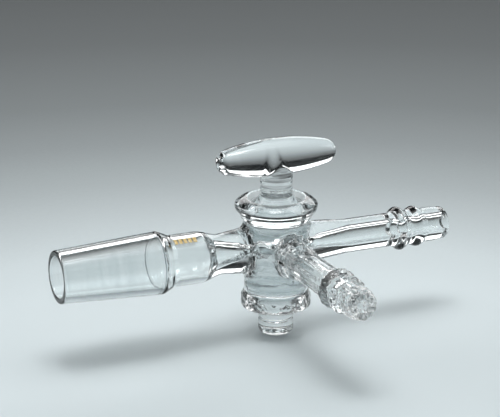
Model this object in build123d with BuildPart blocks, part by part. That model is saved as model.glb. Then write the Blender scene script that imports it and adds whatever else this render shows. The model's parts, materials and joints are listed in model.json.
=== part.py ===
from build123d import *
import os

# A three-way glass stopcock: a barrel with a ground cone and two hose arms, and a plug with a T-bore.
# The origin is the middle of the ground cone's gauge plane, where a socket's mouth comes to rest.
# +X runs through the barrel to the straight hose arm, the side arm points to -Y, and +Z is up the plug.
# A reach is a distance from the plug's axis along an arm, and a level is a height over the arms' axis.

# Fit, cuts and the inner edges of open ends
clearance = 0.04
overrun = 2.0
end_bevel = 0.4
ground_taper_share = 0.1

# Ground cone, a 15/25 standard taper, on its necked tube
cone_diameter = 15.0
cone_length = 25.0
cone_wall = 1.4
cone_end_round = 0.5
cone_offset = 30.6
shoulder_length = 3.3
inner_shoulder_length = 2.3
tube_diameter = 12.4
tube_wall = 1.3
tube_reach = 21.0
cavity_reach = 19.8
funnel_diameter = 4.6
funnel_reach = 17.0
waist_diameter = 9.7
waist_reach = 14.8

# Hose arms, the side one drawn slimmer than the straight one
hose_tube_diameter = 8.3
hose_bore_diameter = 3.4
hose_reach = 46.0
ring_diameter = 10.8
ring_reach = 33.0
ring_rise = 2.3
groove_diameter = 8.5
groove_reach = 35.3
bulge_diameter = 10.1
bulge_reach = 37.7
tip_diameter = 7.8
tip_length = 5.6
tip_round = 0.6
straight_girth_share = 1.0
side_girth_share = 0.9

# Arm roots, tall flares that are welded to the barrel, and the ports through them
cone_root_height = 13.6
straight_root_height = 12.2
side_root_height = 13.4
root_width = 8.2
hose_root_reach = 18.8
port_diameter = 2.4
weld_round = 0.5

# Barrel
barrel_diameter = 15.8
barrel_top_level = 12.4
barrel_foot_level = -15.0
barrel_foot_inset = 0.2
rim_overhang = 2.1
rim_height = 5.6
rim_band = 1.1
rim_slope_height = 3.1
rim_crown_width = 1.7
rim_round = 1.0
mouth_diameter = 13.8
mouth_depth = 2.1
bead_overhang = 0.55
bead_height = 3.0
bead_slope_height = 1.4
bead_round = 0.7

# Plug
plug_diameter = 12.0
plug_bore_diameter = 4.0
plug_overhang = 0.5
shoulder_rise = 2.6
plug_shoulder_round = 0.6
neck_diameter = 7.8
neck_round = 0.5
tail_diameter = 8.6
tail_level = -22.4
tail_round = 0.9

# Handle, a solid spindle across the neck
handle_length = 31.0
handle_diameter = 9.2
handle_level = 22.4
handle_end_diameter = 6.2
handle_weld_round = 0.5

# Planes through the plug's axis: local x runs outwards along the arm, or across the barrel, and local y is up
centre = (cone_offset, 0, 0)
barrel_plane = Plane(origin=centre, x_dir=(0, 1, 0), z_dir=(1, 0, 0))
cone_plane = Plane(origin=centre, x_dir=(-1, 0, 0), z_dir=(0, 1, 0))
straight_plane = Plane(origin=centre, x_dir=(1, 0, 0), z_dir=(0, -1, 0))
side_plane = Plane(origin=centre, x_dir=(0, -1, 0), z_dir=(-1, 0, 0))
plug_axis = Axis(centre, (0, 0, 1))
hose_arms = (
    (straight_plane, straight_root_height, straight_girth_share),
    (side_plane, side_root_height, side_girth_share),
)

# The ground taper, shared by the plug and its seat
ground_top_level = barrel_top_level - mouth_depth
ground_foot_level = barrel_foot_level - plug_overhang


def ground_radius(level):
    """Radius of the plug's ground taper at a level."""
    return (plug_diameter - (ground_top_level - level) * ground_taper_share) / 2


def arm_axis(plane):
    """Axis of the arm that a plane runs along."""
    return Axis(plane.origin, plane.x_dir)


def cross_plane(plane, reach):
    """Plane across an arm at a reach."""
    return Plane(origin=plane.origin, x_dir=plane.z_dir, z_dir=plane.x_dir).offset(reach)


def outer_corners(outline):
    """Corners of an outline that lie off its axis, from the lowest up."""
    return outline.vertices().filter_by(lambda corner: corner.X > 0).sort_by(Axis.Y)


# The ground cone's inner and outer outlines along its arm
cone_end_reach = cone_offset + cone_length
cone_end_radius = (cone_diameter - cone_length * ground_taper_share) / 2
cone_root_radius = cone_diameter / 2
shoulder_reach = cone_offset - shoulder_length
cavity_radius = tube_diameter / 2 - tube_wall
port_radius = port_diameter / 2

# Every arm's root as its plane, its height on the plug's axis, its reach and its outer end's diameter
arm_roots = [(cone_plane, cone_root_height, waist_reach, waist_diameter)]
for plane, root_height, girth_share in hose_arms:
    arm_roots.append((plane, root_height, hose_root_reach, hose_tube_diameter * girth_share))

# The barrel with its three arms, fused into one piece of glass
with BuildPart() as barrel:
    # Shell, solid until its seat is cut
    with BuildSketch(barrel_plane) as shell:
        rim_level = barrel_top_level - rim_height
        band_level = rim_level + rim_slope_height
        bead_level = barrel_foot_level + bead_height
        barrel_radius = barrel_diameter / 2
        rim_radius = barrel_radius + rim_overhang
        bead_radius = barrel_radius + bead_overhang
        with BuildLine():
            Polyline(
                (0, barrel_foot_level),
                (bead_radius, barrel_foot_level),
                (bead_radius, bead_level),
                (barrel_radius - barrel_foot_inset, bead_level + bead_slope_height),
                (barrel_radius, rim_level),
                (rim_radius, band_level),
                (rim_radius, band_level + rim_band),
                (rim_radius - rim_crown_width, barrel_top_level),
                (0, barrel_top_level),
                close=True,
            )
        make_face()
        fillet(outer_corners(shell)[-4:], rim_round)
        fillet(outer_corners(shell)[:3], bead_round)
    revolve(axis=plug_axis)

    # Arm roots, each welded to the shell all round
    for plane, root_height, root_reach, root_end_diameter in arm_roots:
        with BuildSketch(cross_plane(plane, 0)):
            Ellipse(root_width / 2, root_height / 2)
        with BuildSketch(cross_plane(plane, root_reach)):
            Circle(root_end_diameter / 2)
        loft(ruled=True)
        fillet(barrel.edges(Select.NEW), weld_round)

    # Necked tube and ground cone
    with BuildSketch(cone_plane):
        with BuildLine():
            waist = (waist_reach, waist_diameter / 2)
            tube_start = (tube_reach, tube_diameter / 2)
            tube_end = (shoulder_reach, tube_diameter / 2)
            gauge = (cone_offset, cone_root_radius)
            Spline(waist, tube_start, tangents=((1, 0), (1, 0)))
            Line(tube_start, tube_end)
            Spline(tube_end, gauge, tangents=((1, 0), (1, 0)))
            Polyline(gauge, (cone_end_reach, cone_end_radius), (cone_end_reach, 0), (waist_reach, 0), waist)
        make_face()
    revolve(axis=arm_axis(cone_plane))

    # Hose arms: a plain tube, a ring, a bulge with a sharp groove on each side, and a tapered tip
    for plane, root_height, girth_share in hose_arms:
        radius_share = girth_share / 2
        with BuildSketch(plane):
            with BuildLine():
                root_end = (hose_root_reach, hose_tube_diameter * radius_share)
                ring_start = (ring_reach - ring_rise, hose_tube_diameter * radius_share)
                ring_top = (ring_reach, ring_diameter * radius_share)
                groove = (groove_reach, groove_diameter * radius_share)
                bulge_top = (bulge_reach, bulge_diameter * radius_share)
                tip_start = (hose_reach - tip_length, groove_diameter * radius_share)
                tip_end = (hose_reach, tip_diameter * radius_share)
                Line(root_end, ring_start)
                ThreePointArc(ring_start, ring_top, groove)
                ThreePointArc(groove, bulge_top, tip_start)
                Polyline(tip_start, tip_end, (hose_reach, 0), (hose_root_reach, 0), root_end)
            make_face()
        revolve(axis=arm_axis(plane))

    # Seat for the plug, with its flared mouth
    with BuildSketch(barrel_plane):
        with BuildLine():
            seat_foot_level = barrel_foot_level - overrun
            mouth_top_level = barrel_top_level + overrun
            Polyline(
                (0, seat_foot_level),
                (ground_radius(seat_foot_level) + clearance, seat_foot_level),
                (ground_radius(ground_top_level) + clearance, ground_top_level),
                (mouth_diameter / 2, barrel_top_level),
                (mouth_diameter / 2, mouth_top_level),
                (0, mouth_top_level),
                close=True,
            )
        make_face()
    revolve(axis=plug_axis, mode=Mode.SUBTRACT)

    # Hollow of the ground cone and its tube, with a funnel down to its port
    with BuildSketch(cone_plane):
        with BuildLine():
            funnel_slope = (funnel_reach - barrel_radius, funnel_diameter / 2 - port_radius)
            funnel_end = (funnel_reach, funnel_diameter / 2)
            cavity_start = (cavity_reach, cavity_radius)
            Spline(funnel_end, cavity_start, tangents=(funnel_slope, (1, 0)))
            Polyline(
                cavity_start,
                (cone_offset - inner_shoulder_length, cavity_radius),
                (cone_offset, cone_root_radius - cone_wall),
                (cone_end_reach, cone_end_radius - cone_wall),
                (cone_end_reach + overrun, cone_end_radius - cone_wall),
                (cone_end_reach + overrun, 0),
                (0, 0),
                (0, port_radius),
                (barrel_radius, port_radius),
                funnel_end,
            )
        make_face()
    revolve(axis=arm_axis(cone_plane), mode=Mode.SUBTRACT)

    # Bores of the hose arms, narrowing through the root to the port
    for plane, root_height, girth_share in hose_arms:
        with BuildSketch(plane):
            with BuildLine():
                bore_radius = hose_bore_diameter * girth_share / 2
                Polyline(
                    (0, 0),
                    (0, port_radius),
                    (barrel_radius, port_radius),
                    (hose_root_reach, bore_radius),
                    (hose_reach + overrun, bore_radius),
                    (hose_reach + overrun, 0),
                    close=True,
                )
            make_face()
        revolve(axis=arm_axis(plane), mode=Mode.SUBTRACT)

    # Open ends, melted round outside and bevelled inside
    for axis, end, end_round in ((Axis.X, 0, cone_end_round), (Axis.X, -1, tip_round), (Axis.Y, 0, tip_round)):
        circles = barrel.edges().filter_by(GeomType.CIRCLE).group_by(axis)[end].sort_by(SortBy.RADIUS)
        fillet(circles[-1], end_round)
        chamfer(circles[0], end_bevel)

# The plug: tail, ground taper, shoulder, neck and handle, one solid piece of glass
with BuildPart() as plug:
    with BuildSketch(barrel_plane) as stem:
        with BuildLine():
            shoulder_level = ground_top_level + shoulder_rise
            Polyline(
                (0, tail_level),
                (tail_diameter / 2, tail_level),
                (tail_diameter / 2, ground_foot_level),
                (ground_radius(ground_foot_level), ground_foot_level),
                (ground_radius(ground_top_level), ground_top_level),
                (neck_diameter / 2, shoulder_level),
                (neck_diameter / 2, handle_level),
                (0, handle_level),
                close=True,
            )
        make_face()
        fillet(outer_corners(stem)[0], tail_round)
        fillet(outer_corners(stem)[-3], plug_shoulder_round)
        fillet(outer_corners(stem)[-2], neck_round)
    revolve(axis=plug_axis)

    # Handle, welded across the top of the neck: one long arc that runs into a round cap at each end
    handle_plane = Plane(origin=(cone_offset, 0, handle_level), x_dir=(1, 0, 0), z_dir=(0, -1, 0))
    half_length = handle_length / 2
    half_girth = handle_diameter / 2
    cap_radius = handle_end_diameter / 2
    cap_reach = half_length - cap_radius
    body_radius = (cap_reach**2 + half_girth**2 - cap_radius**2) / (handle_diameter - handle_end_diameter)
    lean = Vector(cap_reach, body_radius - half_girth).normalized()
    join_reach = cap_reach + cap_radius * lean.X
    join_girth = cap_radius * lean.Y
    with BuildSketch(handle_plane):
        with BuildLine():
            ThreePointArc((-join_reach, join_girth), (0, half_girth), (join_reach, join_girth))
            TangentArc((join_reach, join_girth), (half_length, 0), tangent=(lean.Y, -lean.X))
            Line((half_length, 0), (-half_length, 0))
            TangentArc((-join_reach, join_girth), (-half_length, 0), tangent=(-lean.Y, -lean.X))
        make_face()
    revolve(axis=arm_axis(handle_plane))
    fillet(plug.edges(Select.NEW), handle_weld_round)

    # T-bore: straight through along the arms, with one branch to the side arm
    bore_length = plug_diameter / 2 + overrun
    with BuildSketch(cross_plane(straight_plane, 0)):
        Circle(plug_bore_diameter / 2)
    extrude(amount=bore_length, both=True, mode=Mode.SUBTRACT)
    with BuildSketch(cross_plane(side_plane, 0)):
        Circle(plug_bore_diameter / 2)
    extrude(amount=bore_length, mode=Mode.SUBTRACT)

barrel.part.label = "barrel"
plug.part.label = "plug"

os.makedirs("parts", exist_ok=True)
export_step(barrel.part, "parts/barrel.step")
export_step(plug.part, "parts/plug.step")
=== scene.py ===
import json
import math
from types import SimpleNamespace

import bpy
import numpy as np
import openvdb
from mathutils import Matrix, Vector


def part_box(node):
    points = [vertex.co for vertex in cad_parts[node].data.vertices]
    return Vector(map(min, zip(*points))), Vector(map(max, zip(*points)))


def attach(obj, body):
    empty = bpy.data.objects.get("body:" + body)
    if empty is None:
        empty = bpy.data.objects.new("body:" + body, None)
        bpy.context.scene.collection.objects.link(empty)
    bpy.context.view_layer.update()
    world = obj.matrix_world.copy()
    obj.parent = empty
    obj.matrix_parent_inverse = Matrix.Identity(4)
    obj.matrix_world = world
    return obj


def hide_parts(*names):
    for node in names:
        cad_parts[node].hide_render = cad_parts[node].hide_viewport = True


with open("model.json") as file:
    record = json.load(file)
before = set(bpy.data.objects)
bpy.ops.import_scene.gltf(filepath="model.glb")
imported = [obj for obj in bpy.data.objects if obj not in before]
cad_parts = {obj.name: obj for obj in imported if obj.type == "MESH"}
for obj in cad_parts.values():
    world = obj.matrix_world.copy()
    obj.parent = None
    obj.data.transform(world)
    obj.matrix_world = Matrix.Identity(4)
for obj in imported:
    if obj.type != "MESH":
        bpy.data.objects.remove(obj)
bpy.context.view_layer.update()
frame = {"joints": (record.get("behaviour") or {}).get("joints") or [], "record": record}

# Barrel shell: a thick glass sleeve, blown, tooled to a rolled rim above and a beaded foot below, and
# ground out inside to the taper that the plug turns in. Sizes are in millimetres from the plug's axis.
MM = 0.001
FINE_STEP = 0.02
AXIS_OFFSET = round(frame["joints"][0]["pos_m"][0] / MM, 3)


def box_from_axis(node):
    """Lowest and highest corner of a CAD piece, in millimetres from the plug's axis."""
    return [np.round(np.array(corner) / MM - (AXIS_OFFSET, 0, 0), 3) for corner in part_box(node)]


def outline(stations, melt):
    """Radius and slope along an axis, with the corners between stations melted round."""
    along, radius = np.array(stations, float).T
    fine = np.arange(along[0], along[-1], FINE_STEP)
    width = 2 * int(melt / FINE_STEP / 2) + 1
    smooth = np.interp(fine, along, radius)
    for _ in range(2):
        smooth = np.convolve(np.pad(smooth, width // 2, mode="edge"), np.ones(width) / width, mode="valid")
    slope = np.gradient(smooth, FINE_STEP)

    def at(level):
        step = np.clip((level - fine[0]) / FINE_STEP, 0, len(fine) - 1.001)
        index = step.astype(int)
        part = step - index
        return (
            smooth[index] * (1 - part) + smooth[index + 1] * part,
            slope[index] * (1 - part) + slope[index + 1] * part,
        )

    return at


def round_off(outside, away, along):
    """Depth in a turned body, by the distance from its axis: below nought inside, in millimetres."""
    radius, slope = outside(along)
    return (away - radius) / np.sqrt(1 + slope * slope)


def weld(a, b, fillet):
    """Two bodies of glass run together over a soft fillet."""
    share = np.clip(0.5 + 0.5 * (b - a) / fillet, 0, 1)
    return b + (a - b) * share - fillet * share * (1 - share)


def cut(a, b, edge):
    """One body with another taken away from it, and the edge between them fire-polished."""
    return -weld(-a, b, edge)


def near(distance, spread):
    """Share of a working that is one at its middle and fades out over a spread in square millimetres."""
    return np.exp(-(distance**2) / spread)


def uneven(x, y, z, size, seed, waves=9):
    """The uneven skin that a flame leaves on glass: soft waves in all directions, about one high."""
    chance = np.random.default_rng(seed)
    total = 0
    for _ in range(waves):
        way = chance.normal(size=3)
        way *= 2 * math.pi / size * chance.uniform(0.7, 1.5) / np.linalg.norm(way)
        total = total + np.sin(x * way[0] + y * way[1] + z * way[2] + chance.uniform(0, 2 * math.pi))
    return total / math.sqrt(waves)


def drawn_lines(around, along, seed, counts, height):
    """Long shallow ridges that drawing leaves round a tube, each wandering a little, in millimetres."""
    chance = np.random.default_rng(seed)
    total = 0
    for count in counts:
        start, sway, reach = chance.uniform(0, 2 * math.pi), chance.uniform(0.3, 1.2), chance.uniform(5, 12)
        wander = start + sway * np.sin(along / reach + start)
        total = total + chance.uniform(0.5, 1) * np.sin(count * around + wander)
    return height * total / math.sqrt(len(counts))


barrel_low, barrel_high = box_from_axis("barrel")
FOOT_LEVEL, RIM_LEVEL = barrel_low[2], barrel_high[2]
BEAD_RADIUS, RIM_RADIUS = 8.45, barrel_high[1]
TAPER = 0.05
SEAT_TOP, SEAT_TOP_RADIUS, MOUTH_RADIUS = 10.3, 6.04, 6.9
shell = outline(
    [
        (FOOT_LEVEL - 3, BEAD_RADIUS),
        (FOOT_LEVEL + 3, BEAD_RADIUS),
        (FOOT_LEVEL + 4.4, 7.7),
        (RIM_LEVEL - 5.6, 7.9),
        (RIM_LEVEL - 2.5, RIM_RADIUS),
        (RIM_LEVEL - 1.4, RIM_RADIUS),
        (RIM_LEVEL, 8.3),
        (RIM_LEVEL + 2.6, 5.1),
    ],
    melt=0.7,
)
seat = outline(
    [
        (FOOT_LEVEL - 5, SEAT_TOP_RADIUS - TAPER * (SEAT_TOP - FOOT_LEVEL + 5)),
        (SEAT_TOP, SEAT_TOP_RADIUS),
        (RIM_LEVEL, MOUTH_RADIUS),
        (RIM_LEVEL + 3.6, 8.37),
    ],
    melt=0.3,
)
BEAD_LEVEL, BEAD_DIMPLES = FOOT_LEVEL + 2, 0.07
SHOULDER_LEVEL, SHOULDER_LINES, SHOULDER_LINE_RATE = 7, 0.06, 3.1
END_ROUNDING, WAVE_SIZE = 0.9, 1.8


def shell_glass(x, y, z):
    """Depth in the shell before its seat is ground out, at points measured from the plug's axis."""
    sleeve = round_off(shell, np.hypot(x, y), z)
    sleeve += drawn_lines(np.arctan2(y, x), z, seed=3, counts=(3, 4, 7, 11), height=0.02)
    sleeve += BEAD_DIMPLES * near(z - BEAD_LEVEL, 3) * uneven(x, y, z, WAVE_SIZE, seed=6)
    sleeve += SHOULDER_LINES * near(z - SHOULDER_LEVEL, 6) * np.sin(SHOULDER_LINE_RATE * z)
    sleeve = cut(sleeve, RIM_LEVEL - z, END_ROUNDING)
    return cut(sleeve, z - FOOT_LEVEL, END_ROUNDING)


def node_group(name, takes, gives):
    """An empty group of shader nodes with named inputs and outputs, and the sockets inside it."""
    group = bpy.data.node_groups.new(name, "ShaderNodeTree")
    for way, sockets in (("INPUT", takes), ("OUTPUT", gives)):
        for label, kind in sockets:
            group.interface.new_socket(name=label, in_out=way, socket_type="NodeSocket" + kind)
    return group, group.nodes.new("NodeGroupInput").outputs, group.nodes.new("NodeGroupOutput").inputs


def place(tree, kind, feeds, **settings):
    """A shader node with its settings and, by socket, what feeds it: a number, a colour or another socket."""
    node = tree.nodes.new("ShaderNode" + kind)
    for key, value in settings.items():
        setattr(node, key, value)
    for socket, source in feeds.items():
        if isinstance(source, bpy.types.NodeSocket):
            tree.links.new(source, node.inputs[socket])
        else:
            node.inputs[socket].default_value = source
    return node


worked_glass, taken, given = node_group(
    "worked_glass",
    (("Clear", "Color"), ("Cast", "Color"), ("Smear", "Float")),
    (("Tint", "Color"), ("Haze", "Float"), ("Relief", "Float")),
)
spot = place(worked_glass, "TexCoord", {}).outputs["Object"]
cords = place(worked_glass, "TexNoise", {"Vector": spot, "Scale": 120, "Detail": 2}).outputs["Fac"]
skin = place(worked_glass, "TexNoise", {"Vector": spot, "Scale": 700, "Detail": 2}).outputs["Fac"]
tint = place(worked_glass, "Mix", {0: cords, 6: taken["Clear"], 7: taken["Cast"]}, data_type="RGBA")
smudge = place(
    worked_glass, "MapRange", {"Value": cords, "From Min": 0.5, "From Max": 0.75, "To Max": taken["Smear"]}
)
worked_glass.links.new(tint.outputs[2], given["Tint"])
worked_glass.links.new(smudge.outputs[0], given["Haze"])
worked_glass.links.new(skin, given["Relief"])

ground_rings, taken, given = node_group(
    "ground_rings",
    (("Along", "Float"), ("Clear", "Color"), ("Cast", "Color"), ("Least", "Float"), ("Most", "Float")),
    (("Tint", "Color"), ("Haze", "Float"), ("Relief", "Float")),
)
rings = place(
    ground_rings,
    "TexNoise",
    {"W": taken["Along"], "Scale": 380, "Detail": 3, "Roughness": 0.6},
    noise_dimensions="1D",
).outputs["Fac"]
ring_share = place(ground_rings, "MapRange", {"Value": rings, "From Min": 0.4, "From Max": 0.6}).outputs[0]
tint = place(ground_rings, "Mix", {0: ring_share, 6: taken["Clear"], 7: taken["Cast"]}, data_type="RGBA")
haze = place(
    ground_rings, "MapRange", {"Value": ring_share, "To Min": taken["Least"], "To Max": taken["Most"]}
)
ground_rings.links.new(tint.outputs[2], given["Tint"])
ground_rings.links.new(haze.outputs[0], given["Haze"])
ground_rings.links.new(rings, given["Relief"])


def glass_material(name, group, refraction, through, relief, axis=None, **values):
    """Glass with the finish of a node group: worked in the flame, or ground in rings about an axis."""
    material = bpy.data.materials.new(name)
    material.use_nodes = True
    tree = material.node_tree
    shader = tree.nodes["Principled BSDF"]
    shader.inputs["IOR"].default_value = refraction
    shader.inputs["Transmission Weight"].default_value = through
    finish = place(tree, "Group", {}, node_tree=group)
    for key, value in values.items():
        finish.inputs[key].default_value = value
    if axis:
        spot = place(tree, "TexCoord", {}).outputs["Object"]
        along = place(tree, "SeparateXYZ", {"Vector": spot}).outputs[axis]
        tree.links.new(along, finish.inputs["Along"])
    bump = place(tree, "Bump", {"Height": finish.outputs["Relief"], "Strength": 1, "Distance": relief * MM})
    tree.links.new(finish.outputs["Tint"], shader.inputs["Base Color"])
    tree.links.new(finish.outputs["Haze"], shader.inputs["Roughness"])
    tree.links.new(bump.outputs["Normal"], shader.inputs["Normal"])
    return material


GLASS_REFRACTION, GREASED_REFRACTION = 1.47, 1.06
WATER_CLEAR, FAINT_CAST = (0.98, 0.99, 0.99, 1), (0.95, 0.98, 0.98, 1)
clear_glass = glass_material(
    "clear_glass", worked_glass, GLASS_REFRACTION, through=1, relief=0.01,
    Clear=WATER_CLEAR, Cast=FAINT_CAST, Smear=0.03,
)
greased_joint = glass_material(
    "greased_joint", ground_rings, GREASED_REFRACTION, through=0.96, relief=0.01, axis="Z",
    Clear=(0.99, 0.99, 0.99, 1), Cast=(0.7, 0.74, 0.75, 1), Least=0.08, Most=0.3,
)
ground_mouth = glass_material(
    "ground_mouth", ground_rings, GLASS_REFRACTION, through=0.5, relief=0.004, axis="Z",
    Clear=WATER_CLEAR, Cast=FAINT_CAST, Least=0.2, Most=0.4,
)

# Ground cone: a blown tube that is drawn in to a waist, opens to a wide neck and is ground to a standard
# taper outside, from a thin groove on; a dark line of painted shade is laid along that groove in its colour.
# It is hollow down to a funnel, and a narrow port leads from that into the barrel.
fits = {mount["name"]: mount["dims"] for mount in frame["record"]["mounts"]}
CONE_RADIUS, CONE_WALL = fits["ground_cone"]["r_mm"], 1.4
NECK_RADIUS, NECK_WALL, WAIST_RADIUS = 6.2, 1.3, 4.85
WAIST_REACH, NECK_REACH, NECK_END, CONE_START, PAST_CONE = 14.8, 21, 27.5, 30.5, 60
PORT_RADIUS, PORT_REACH, FUNNEL_RADIUS, FUNNEL_REACH = 1.2, 7.9, 2.3, 17
HOLLOW_REACH, HOLLOW_END = 19.8, 28.6


def flow(start, end):
    """Stations of a soft S-shaped run of glass from one point of an outline to the next."""
    share = np.linspace(0, 1, 24, endpoint=False)
    eased = share * share * (3 - 2 * share)
    along = start[0] + (end[0] - start[0]) * share
    return list(zip(along, start[1] + (end[1] - start[1]) * eased))


def cone_radius(reach):
    """Outside of the ground cone at a reach from the plug's axis."""
    return CONE_RADIUS - TAPER * (reach - AXIS_OFFSET)


neck_run = [
    *flow((WAIST_REACH, WAIST_RADIUS), (NECK_REACH, NECK_RADIUS)),
    (NECK_REACH, NECK_RADIUS),
    (NECK_END, NECK_RADIUS),
    (CONE_START, cone_radius(CONE_START)),
    (PAST_CONE, cone_radius(PAST_CONE)),
]
port = [(-2, PORT_RADIUS), (PORT_REACH, PORT_RADIUS)]
neck_hollow = [
    *port,
    *flow((FUNNEL_REACH, FUNNEL_RADIUS), (HOLLOW_REACH, NECK_RADIUS - NECK_WALL)),
    (HOLLOW_REACH, NECK_RADIUS - NECK_WALL),
    (HOLLOW_END, NECK_RADIUS - NECK_WALL),
    (AXIS_OFFSET, CONE_RADIUS - CONE_WALL),
    (PAST_CONE, cone_radius(PAST_CONE) - CONE_WALL),
]
ROOT_HALF_WIDTH = 4.1


def fused_arm(way, end, run, half_height, melt, **work):
    """One arm: where it points and ends, its outlines from the side and from above, and how it is worked."""
    tall, broad = (outline([(-2, half), (0, half), *run], melt) for half in (half_height, ROOT_HALF_WIDTH))
    return SimpleNamespace(way=way, end=end, tall=tall, broad=broad, **work)


cone_arm = fused_arm(
    way=(-1, 0), end=-barrel_low[0], run=neck_run, half_height=6.8, melt=0.3, fillet=2.2, polish=0.4,
    bore=outline(neck_hollow, melt=0.3), swirl=0, seam=0.14,
    seed=2, counts=(2, 3, 5), height=0.012,
)
SEAM_REACH, SEAM_WIDTH = AXIS_OFFSET + 0.6, 0.28

ground_cone = glass_material(
    "ground_cone", ground_rings, GLASS_REFRACTION, through=1, relief=0.004, axis="X",
    Clear=(0.92, 0.94, 0.94, 1), Cast=(0.82, 0.86, 0.87, 1), Least=0.01, Most=0.06,
)
# Painted shade: a thin band of dark grey in the cone's colour along its groove, standing in for the dark edge
# line that the glass shows there.
EDGE_LINE, EDGE_HALF_WIDTH, EDGE_SHADE_GREY = -0.7 * MM, 0.16 * MM, (0.2, 0.23, 0.24, 1)
tree = ground_cone.node_tree
shader = tree.nodes["Principled BSDF"]
rings = shader.inputs["Base Color"].links[0].from_socket
spot = place(tree, "TexCoord", {}).outputs["Object"]
along = place(tree, "SeparateXYZ", {"Vector": spot}).outputs["X"]
edge = place(tree, "Math", {0: along, 1: EDGE_LINE, 2: EDGE_HALF_WIDTH}, operation="COMPARE").outputs["Value"]
shade_lined = place(tree, "Mix", {0: edge, 6: rings, 7: EDGE_SHADE_GREY}, data_type="RGBA").outputs[2]
tree.links.new(shade_lined, shader.inputs["Base Color"])

# Hose arms: two thick-walled drawn tubes, each pressed in the flame into a ring and a bulge that grip the
# hose, and fused to the shell. The side arm is a tenth slimmer and shows the long lines of the drawing,
# which also left its bore slightly milky behind the ring.
HOSE_END = barrel_high[0]
RIDGED_LENGTH, RING_RADIUS = (fits["straight_hose_arm"][size] for size in ("length_mm", "r_mm"))
SIDE_GIRTH = fits["side_hose_arm"]["r_mm"] / RING_RADIUS
TUBE_RADIUS, GROOVE_RADIUS, BULGE_RADIUS, TIP_RADIUS = 4.15, 4.25, 5.05, 4.2
HOSE_BORE_RADIUS = 1.7
ROOT_REACH = 18.8


def stretch(distance, half):
    """Share of a working that is one along most of a stretch and nought soon after its half length."""
    return np.exp(-((distance / half) ** 4))


def arch(start, top, end):
    """Stations of a round ridge through three points of an outline."""
    (x1, y1), (x2, y2), (x3, y3) = start, top, end
    turn = 2 * (x1 * (y2 - y3) + x2 * (y3 - y1) + x3 * (y1 - y2))
    a, b, c = x1 * x1 + y1 * y1, x2 * x2 + y2 * y2, x3 * x3 + y3 * y3
    x0 = (a * (y2 - y3) + b * (y3 - y1) + c * (y1 - y2)) / turn
    y0 = (a * (x3 - x2) + b * (x1 - x3) + c * (x2 - x1)) / turn
    radius = math.hypot(x1 - x0, y1 - y0)
    return [(x, y0 + math.sqrt(radius**2 - (x - x0) ** 2)) for x in np.linspace(x1, x3, 24, endpoint=False)]


ridges = [
    (HOSE_END - RIDGED_LENGTH, TUBE_RADIUS),
    (HOSE_END - 13, RING_RADIUS),
    (HOSE_END - 10.7, GROOVE_RADIUS),
    (HOSE_END - 8.3, BULGE_RADIUS),
    (HOSE_END - 6.2, TIP_RADIUS),
]
ring_run = [(ROOT_REACH, TUBE_RADIUS)]
for start, end in zip(ridges, ridges[1:]):
    ring_run += flow(start, end)
ring_run += arch(ridges[-1], (HOSE_END - 2.8, TIP_RADIUS), (HOSE_END, 3.85))
ring_run += [(HOSE_END + 2, 3.5)]
side_run = [(reach, SIDE_GIRTH * radius) for reach, radius in ring_run]


def hose_bore(radius):
    """Outline of a hose arm's bore, which opens from the port to this radius."""
    return outline([*port, (ROOT_REACH, radius), (HOSE_END + 4, radius)], melt=1)


straight_arm = fused_arm(
    way=(1, 0), end=HOSE_END, run=ring_run, half_height=6.1, melt=0.25, fillet=2, polish=1,
    bore=hose_bore(HOSE_BORE_RADIUS), swirl=0, seam=0,
    seed=5, counts=(2, 3, 5, 8, 11), height=0.012,
)
side_arm = fused_arm(
    way=(0, -1), end=-barrel_low[1], run=side_run, half_height=6.7, melt=0.6, fillet=0.8, polish=1,
    bore=hose_bore(SIDE_GIRTH * HOSE_BORE_RADIUS), swirl=0.08, seam=0,
    seed=8, counts=(3, 7, 10, 12, 15), height=0.055,
)
arms = (cone_arm, straight_arm, side_arm)
SWIRL_MIDDLE, SWIRL_HALF, SWIRL_SIZE = HOSE_END - 8, 9, 1.6
WELD_SPREAD, WELD_WAVES, FUNNEL_WAVES, FUNNEL_FOOT = 3, 0.08, 0.12, 8
SEAT_EDGE, BORE_EDGE, BORE_LINE_SHARE = 0.25, 0.4, 0.7
TINY = 1e-9


def arm_lines(arm, x, y):
    """How far points lie along an arm and across it."""
    return x * arm.way[0] + y * arm.way[1], x * arm.way[1] - y * arm.way[0]


def oval_off(arm, along, across, z):
    """Depth in an arm of oval section, by its outlines from the side and from above."""
    (high, high_slope), (wide, wide_slope) = arm.tall(along), arm.broad(along)
    spread = np.sqrt((across / wide) ** 2 + (z / high) ** 2) + TINY
    steep = np.sqrt(across**2 / wide**4 + z**2 / high**4) / spread + TINY
    lean = (across**2 * wide_slope / wide**3 + z**2 * high_slope / high**3) / spread
    return (spread - 1) / np.sqrt(steep**2 + lean**2)


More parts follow.
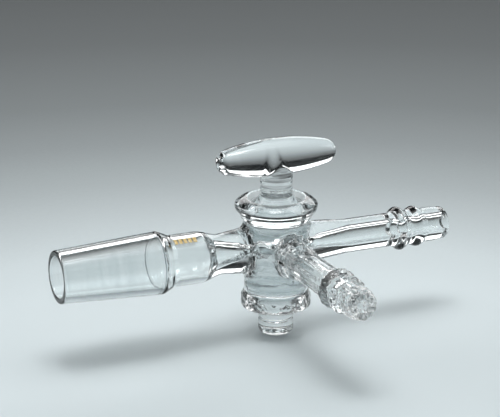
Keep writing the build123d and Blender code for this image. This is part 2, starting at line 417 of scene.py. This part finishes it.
def barrel_glass(x, y, z):
    """Depth in the barrel's glass at points measured from the plug's axis."""
    sleeve = shell_glass(x, y, z)
    body = sleeve
    welds = 0
    for arm in arms:
        along, across = arm_lines(arm, x, y)
        tube = oval_off(arm, along, across, z)
        tube += drawn_lines(np.arctan2(z, across), along, arm.seed, arm.counts, arm.height)
        tube += arm.swirl * stretch(along - SWIRL_MIDDLE, SWIRL_HALF) * uneven(x, y, z, SWIRL_SIZE, seed=9)
        tube += arm.seam * near(along - SEAM_REACH, SEAM_WIDTH**2)
        tube = np.maximum(tube, -along)
        tube = cut(tube, arm.end - along, arm.polish)
        welds = np.maximum(welds, near(np.hypot(sleeve, tube), WELD_SPREAD))
        body = weld(body, tube, arm.fillet)
    body = body + WELD_WAVES * welds * uneven(x, y, z, WAVE_SIZE, seed=4)
    body = cut(body, round_off(seat, np.hypot(x, y), z), SEAT_EDGE)
    for arm in arms:
        along, across = arm_lines(arm, x, y)
        around = np.arctan2(z, across)
        hollow = round_off(arm.bore, np.hypot(across, z), along)
        hollow += drawn_lines(around, along, arm.seed + 1, arm.counts[:4], BORE_LINE_SHARE * arm.height)
        hollow += FUNNEL_WAVES * near(along - FUNNEL_FOOT, 6) * uneven(x, y, z, WAVE_SIZE, arm.seed)
        body = cut(body, np.maximum(hollow, -along), BORE_EDGE)
    return body


def glass_body(name, depth, low, high, spacing, block=12, batch=200, slack=1.25, nudge=0.01):
    """Mesh of a body of glass, on an even net with the true normals of its surface."""
    counts = [int(math.ceil((b - a) / spacing / block)) for a, b in zip(low, high)]
    centres = np.stack(np.meshgrid(*[np.arange(n) for n in counts], indexing="ij"), -1).reshape(-1, 3)
    middle = (centres + 0.5) * block * spacing + low
    reach = 0.5 * math.sqrt(3) * block * spacing * slack
    rough = depth(*middle.T)
    net = rough.reshape(counts).astype(np.float32)
    for way in range(3):
        net = np.repeat(net, block, way)
    inner = np.stack(np.meshgrid(*[np.arange(block)] * 3, indexing="ij"), -1).reshape(-1, 3)
    close = centres[np.abs(rough) < reach]
    for first in range(0, len(close), batch):
        cells = (close[first : first + batch, None] * block + inner).reshape(-1, 3)
        net[tuple(cells.T)] = depth(*(cells * spacing + low).T)
    grid = openvdb.FloatGrid()
    grid.copyFromArray(net)
    points, quads = grid.convertToQuads(isovalue=0.0)
    points = points.astype(float) * spacing + low
    for _ in range(3):
        slope = np.stack(
            [depth(*(points + d).T) - depth(*(points - d).T) for d in np.eye(3) * nudge], 1
        ) / (2 * nudge)
        points -= (depth(*points.T) / (slope**2).sum(1))[:, None] * slope
    mesh = bpy.data.meshes.new(name)
    placed = (points + (AXIS_OFFSET, 0, 0)) * MM
    mesh.from_pydata(placed.tolist(), [], quads.tolist())
    mesh.shade_smooth()
    mesh.normals_split_custom_set_from_vertices((slope / np.linalg.norm(slope, axis=1)[:, None]).tolist())
    piece = bpy.data.objects.new(name, mesh)
    bpy.context.scene.collection.objects.link(piece)
    middles = points[quads].mean(1)
    return piece, middles


drawn_bore = glass_material(
    "drawn_bore", worked_glass, GLASS_REFRACTION, through=0.88, relief=0.03,
    Clear=WATER_CLEAR, Cast=FAINT_CAST, Smear=0.06,
)


def finish_faces(piece, glass, *others):
    """Gives a piece its glass and, on the faces that each comes with, its other finishes."""
    slots = np.zeros(len(piece.data.polygons), np.int32)
    piece.data.materials.append(glass)
    for slot, (material, faces) in enumerate(others, 1):
        piece.data.materials.append(material)
        slots[faces] = slot
    piece.data.polygons.foreach_set("material_index", slots)


barrel, middles = glass_body(
    "stopcock_barrel", barrel_glass, low=(-57, -47.5, -16.5), high=(47.5, 11.5, 14), spacing=0.355
)
x, y, z = middles.T
SKIN = 0.03
GREASE_TOP = 7.6
MILKY_FROM, MILKY_TO = 21, 32
on_seat = np.abs(round_off(seat, np.hypot(x, y), z)) < SKIN
on_cone = (x < -AXIS_OFFSET) & (x > barrel_low[0] + 0.6) & (np.hypot(y, z) > cone_radius(-x) - 0.2)
in_side_bore = (y < -MILKY_FROM) & (y > -MILKY_TO) & (np.hypot(x, z) < HOSE_BORE_RADIUS + 0.4)
finish_faces(
    barrel,
    clear_glass,
    (greased_joint, on_seat & (z < GREASE_TOP)),
    (ground_cone, on_cone),
    (ground_mouth, on_seat & (z > SEAT_TOP)),
    (drawn_bore, in_side_bore),
)
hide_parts("barrel")
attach(barrel, "barrel")

# Enamel mark: a row of plain dashes of amber enamel, printed on the neck behind the ground cone and fired
# into the skin of the glass. Their ink is worn to a paler tone in places.
DASHES = ((3.1, 3.9), (4.25, 5.1), (5.45, 6.25), (6.6, 7.45), (7.8, 8.7))
INK_SUNK, INK_PROUD = 0.04, 0.05
INK_TURNS = (20, 34)
ROWS, COLUMNS = 9, 4
SHEET = ROWS * COLUMNS
amber_enamel = bpy.data.materials.new("amber_enamel")
amber_enamel.use_nodes = True
tree = amber_enamel.node_tree
spot = place(tree, "TexCoord", {}).outputs["Object"]
wear = place(tree, "TexNoise", {"Vector": spot, "Scale": 2500, "Detail": 3}).outputs["Fac"]
worn = place(tree, "MapRange", {"Value": wear, "From Min": 0.4, "From Max": 0.65}).outputs[0]
ink = place(
    tree, "Mix", {0: worn, 6: (0.62, 0.4, 0.08, 1), 7: (0.85, 0.72, 0.42, 1)}, data_type="RGBA"
).outputs[2]
dull = place(tree, "MapRange", {"Value": wear, "To Min": 0.25, "To Max": 0.5}).outputs[0]
tree.links.new(ink, tree.nodes["Principled BSDF"].inputs["Base Color"])
tree.links.new(dull, tree.nodes["Principled BSDF"].inputs["Roughness"])

rim = [COLUMNS * row for row in range(ROWS)]
rim += [SHEET - COLUMNS + column for column in range(1, COLUMNS)]
rim += [COLUMNS * row + COLUMNS - 1 for row in range(ROWS - 2, -1, -1)]
rim += range(COLUMNS - 2, 0, -1)
corners, faces = [], []
for first, last in DASHES:
    start = len(corners)
    for level in (NECK_RADIUS - INK_SUNK, NECK_RADIUS + INK_PROUD):
        for turn in np.linspace(*INK_TURNS, ROWS):
            y, z = -level * math.sin(math.radians(turn)), level * math.cos(math.radians(turn))
            corners += [(MM * x, MM * y, MM * z) for x in np.linspace(first, last, COLUMNS)]
    for row in range(ROWS - 1):
        for column in range(COLUMNS - 1):
            a = start + COLUMNS * row + column
            b = a + COLUMNS
            faces += [(a, b, b + 1, a + 1), (a + SHEET, a + SHEET + 1, b + SHEET + 1, b + SHEET)]
    for a, b in zip(rim, rim[1:] + rim[:1]):
        faces += [(start + a, start + b, start + b + SHEET, start + a + SHEET)]
mark_mesh = bpy.data.meshes.new("neck_mark")
mark_mesh.from_pydata(corners, [], faces)
mark_mesh.validate()
mark_mesh.materials.append(amber_enamel)
neck_mark = bpy.data.objects.new("neck_mark", mark_mesh)
bpy.context.scene.collection.objects.link(neck_mark)
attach(neck_mark, "barrel")

# Plug: one solid rod of glass, ground to the barrel's taper and bored through in a T. A spindle-shaped
# handle is welded across its neck, and a tail with a thin groove comes out under the barrel.
plug_low, plug_high = box_from_axis("plug")
TAIL_LEVEL, TAIL_RADIUS, TAIL_TOP = plug_low[2], 4.3, -15.6
PLUG_TOP_RADIUS, STEM_RADIUS, FLARE_RADIUS = 6, 3.9, 4.35
HANDLE_LEVEL, HANDLE_HALF, HANDLE_RADIUS, CAP_RADIUS = 22.4, plug_high[0], 4.6, 3.1
CAP_REACH = HANDLE_HALF - CAP_RADIUS
BOW_RADIUS = (CAP_REACH**2 + HANDLE_RADIUS**2 - CAP_RADIUS**2) / (2 * (HANDLE_RADIUS - CAP_RADIUS))
BOW_SINK = BOW_RADIUS - HANDLE_RADIUS
STEM_FOOT, FLARE_FOOT, FLARE_TOP, PAST_STEM = 12.9, 17, 20.6, 30
STEM_MIDDLE, STEM_HALF, STEM_LINES, COARSE_RATE, FINE_RATE = 16.5, 3.5, 0.018, 4.2, 7.1
GROOVE_LEVEL, GROOVE_DEPTH, GROOVE_WIDTH = -18, 0.3, 0.32
FOOT_DOME, FOOT_EDGE = 18, 1
CREASE, CREASE_SPREAD = 0.15, 0.08
T_BORE_RADIUS, T_BORE_EDGE = 2, 0.2
stem = outline(
    [
        (TAIL_LEVEL - 3.6, TAIL_RADIUS),
        (TAIL_TOP, TAIL_RADIUS),
        (TAIL_TOP + 0.2, PLUG_TOP_RADIUS - TAPER * (SEAT_TOP - TAIL_TOP - 0.2)),
        (SEAT_TOP, PLUG_TOP_RADIUS),
        (STEM_FOOT, STEM_RADIUS),
        (FLARE_FOOT, STEM_RADIUS),
        (FLARE_TOP, FLARE_RADIUS),
        (PAST_STEM, FLARE_RADIUS),
    ],
    melt=0.4,
)


def plug_glass(x, y, z):
    """Depth in the plug's glass at points measured from its axis."""
    away = np.hypot(x, y)
    body = round_off(stem, away, z)
    lines = np.sin(COARSE_RATE * z) + np.sin(FINE_RATE * z + 1) + uneven(x, y, z, 3, seed=5)
    body += STEM_LINES * stretch(z - STEM_MIDDLE, STEM_HALF) * lines
    body += GROOVE_DEPTH * near(z - GROOVE_LEVEL, GROOVE_WIDTH**2)
    body = cut(body, z - TAIL_LEVEL - away**2 / FOOT_DOME, FOOT_EDGE)
    body = np.maximum(body, z - HANDLE_LEVEL)
    along, girth = np.abs(x), np.hypot(y, z - HANDLE_LEVEL)
    bow = np.hypot(along, girth + BOW_SINK) - BOW_RADIUS
    cap = np.hypot(along - CAP_REACH, girth) - CAP_RADIUS
    handle = np.where(along * BOW_SINK > (girth + BOW_SINK) * CAP_REACH, cap, bow)
    body = weld(body, handle, CREASE) + CREASE * near(np.hypot(body, handle), CREASE_SPREAD)
    through = np.hypot(y, z) - T_BORE_RADIUS
    branch = np.maximum(np.hypot(x, z) - T_BORE_RADIUS, y)
    body = cut(body, through, T_BORE_EDGE)
    return cut(body, branch, T_BORE_EDGE)


plug, middles = glass_body(
    "stopcock_plug", plug_glass, low=(-17, -7, -23.5), high=(17, 7, 28.5), spacing=0.2
)
x, y, z = middles.T
on_taper = np.abs(round_off(stem, np.hypot(x, y), z)) < SKIN
finish_faces(plug, clear_glass, (greased_joint, on_taper & (z < GREASE_TOP) & (z > FOOT_LEVEL)))
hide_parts("plug")
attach(plug, "plug")

# Floor: a plain pale sheet of paper under the stopcock, just below the plug's tail. Its colour carries a
# painted pool
# of light: lightest where the stopcock is, it darkens to a slate grey round about, in place of the light
# falling off.
FLOOR_LEVEL = MM * (TAIL_LEVEL - 0.05)
HALF_SHEET = 3
LIGHT_POOL_MIDDLE = (0.01, -0.045, FLOOR_LEVEL)
PAINTED_LIGHT_FALL = (
    (0, 0.68),
    (0.1, 0.68),
    (0.125, 0.63),
    (0.15, 0.53),
    (0.185, 0.4),
    (0.23, 0.28),
    (0.28, 0.2),
    (0.38, 0.13),
    (0.8, 0.02),
)
floor_mesh = bpy.data.meshes.new("floor")
floor_mesh.from_pydata(
    [(a * HALF_SHEET, b * HALF_SHEET, FLOOR_LEVEL) for a, b in ((-1, -1), (1, -1), (1, 1), (-1, 1))],
    [],
    [(0, 1, 2, 3)],
)
floor = bpy.data.objects.new("floor", floor_mesh)
bpy.context.scene.collection.objects.link(floor)
floor_paper = bpy.data.materials.new("floor_paper")
floor_paper.use_nodes = True
tree = floor_paper.node_tree


def tones(tree, share, stops):
    """A run of cool greys along a share from nought to one."""
    node = place(tree, "ValToRGB", {"Fac": share})
    steps = node.color_ramp.elements
    while len(steps) < len(stops):
        steps.new(0.5)
    for step, (position, grey) in zip(steps, stops):
        step.position, step.color = position, (0.9 * grey, grey, 1.03 * grey, 1)
    return node.outputs["Color"]


# Painted pool of light: the floor's colour darkens with distance from the stopcock, with a little paper fibre
# in it.
spot = place(tree, "NewGeometry", {}).outputs["Position"]
away = place(tree, "VectorMath", {0: spot, 1: LIGHT_POOL_MIDDLE}, operation="DISTANCE").outputs["Value"]
fibre = place(tree, "TexNoise", {"Vector": spot, "Scale": 900, "Detail": 3}).outputs["Fac"]
ragged = place(tree, "Math", {0: fibre, 1: 0.01, 2: away}, operation="MULTIPLY_ADD").outputs["Value"]
shader = tree.nodes["Principled BSDF"]
shader.inputs["Roughness"].default_value = 0.8
tree.links.new(tones(tree, ragged, PAINTED_LIGHT_FALL), shader.inputs["Base Color"])
floor_mesh.materials.append(floor_paper)

# Light: a dim room, with an upright soft box behind the stopcock, a wide and a small bright one over it, and
# one at each side. The dark band between the floor and the upright box draws the dark lines in the glass.
ROOM_TONES = ((0, 0.01), (0.575, 0.01), (0.65, 0.03), (0.8, 0.1), (1, 0.2))
LIGHT_TURN = math.radians(25)
world = bpy.data.worlds.new("studio")
world.use_nodes = True
bpy.context.scene.world = world
tree = world.node_tree
sky = place(tree, "TexCoord", {}).outputs["Generated"]
height = place(tree, "SeparateXYZ", {"Vector": sky}).outputs["Z"]
rise = place(tree, "MapRange", {"Value": height, "From Min": -1}).outputs[0]
tree.links.new(tones(tree, rise, ROOM_TONES), tree.nodes["Background"].inputs["Color"])

centre = Vector((MM * AXIS_OFFSET, 0, 0))
forward = Vector((math.sin(LIGHT_TURN), math.cos(LIGHT_TURN), 0))
sideways = Vector((forward.y, -forward.x, 0))
for name, reach, side, lift, aim, size, glare, edge in (
    ("softbox_behind", 0.9, 0, 0.47, 0.47, (1.4, 0.46), 2.2, 0.05),
    ("softbox_above", 0, 0, 0.7, 0, (1.2, 0.9), 1.9, 0.65),
    ("softbox_key", -0.1, 0, 0.65, 0, (0.36, 0.3), 9, 0.6),
    ("softbox_left", 0.1, -0.6, 0.28, 0, (0.3, 0.44), 3, 0.4),
    ("softbox_right", 0.1, 0.6, 0.28, 0, (0.3, 0.44), 2, 0.4),
):
    lamp = bpy.data.lights.new(name, "AREA")
    lamp.shape = "RECTANGLE"
    lamp.size, lamp.size_y = size
    lamp.energy = math.pi * size[0] * size[1] * glare
    lamp.use_nodes = True
    tree = lamp.node_tree
    across = place(tree, "NewGeometry", {}).outputs["Parametric"]
    offset = place(tree, "VectorMath", {0: across, 1: (0.5, 0.5, 0)}, operation="SUBTRACT").outputs["Vector"]
    offset = place(tree, "VectorMath", {0: offset}, operation="ABSOLUTE").outputs["Vector"]
    sides = place(tree, "SeparateXYZ", {"Vector": offset}).outputs
    fades = [
        place(
            tree,
            "MapRange",
            {"Value": sides[way], "From Min": 0.5, "From Max": 0.5 - 0.5 * edge},
            interpolation_type="SMOOTHSTEP",
        ).outputs[0]
        for way in "XY"
    ]
    fade = place(tree, "Math", {0: fades[0], 1: fades[1]}, operation="MULTIPLY").outputs["Value"]
    tree.links.new(fade, tree.nodes["Emission"].inputs["Strength"])
    box = bpy.data.objects.new(name, lamp)
    box.location = centre + reach * forward + side * sideways + Vector((0, 0, lift))
    box.rotation_euler = (centre + Vector((0, 0, aim)) - box.location).to_track_quat("-Z", "Y").to_euler()
    bpy.context.scene.collection.objects.link(box)

# Camera: it looks down on the stopcock from the front, with the ground cone to the left and the side arm
# towards it, as the photo does. The lens is long, so that the arms hardly run together.
AZIMUTH, ELEVATION, DISTANCE = math.radians(-25.015), math.radians(18.705), 464.563
SENSOR_WIDTH, PICTURE_WIDTH, DOTS_PER_MM = 36, 500, 4.14894
AIM_RIGHT, AIM_UP = -6.3007, 8.9462
back = Vector(
    (math.sin(AZIMUTH) * math.cos(ELEVATION), -math.cos(AZIMUTH) * math.cos(ELEVATION), math.sin(ELEVATION))
)
right = Vector((math.cos(AZIMUTH), math.sin(AZIMUTH), 0))
up = back.cross(right)
lens = bpy.data.cameras.new("camera")
lens.sensor_width = SENSOR_WIDTH
lens.lens = DOTS_PER_MM * DISTANCE * SENSOR_WIDTH / PICTURE_WIDTH
camera = bpy.data.objects.new("camera", lens)
camera.location = centre + MM * DISTANCE * back
target = centre + MM * (AIM_RIGHT * right + AIM_UP * up)
camera.rotation_euler = (target - camera.location).to_track_quat("-Z", "Y").to_euler()
bpy.context.scene.collection.objects.link(camera)
bpy.context.scene.camera = camera
bpy.context.scene.view_settings.view_transform = "Standard"
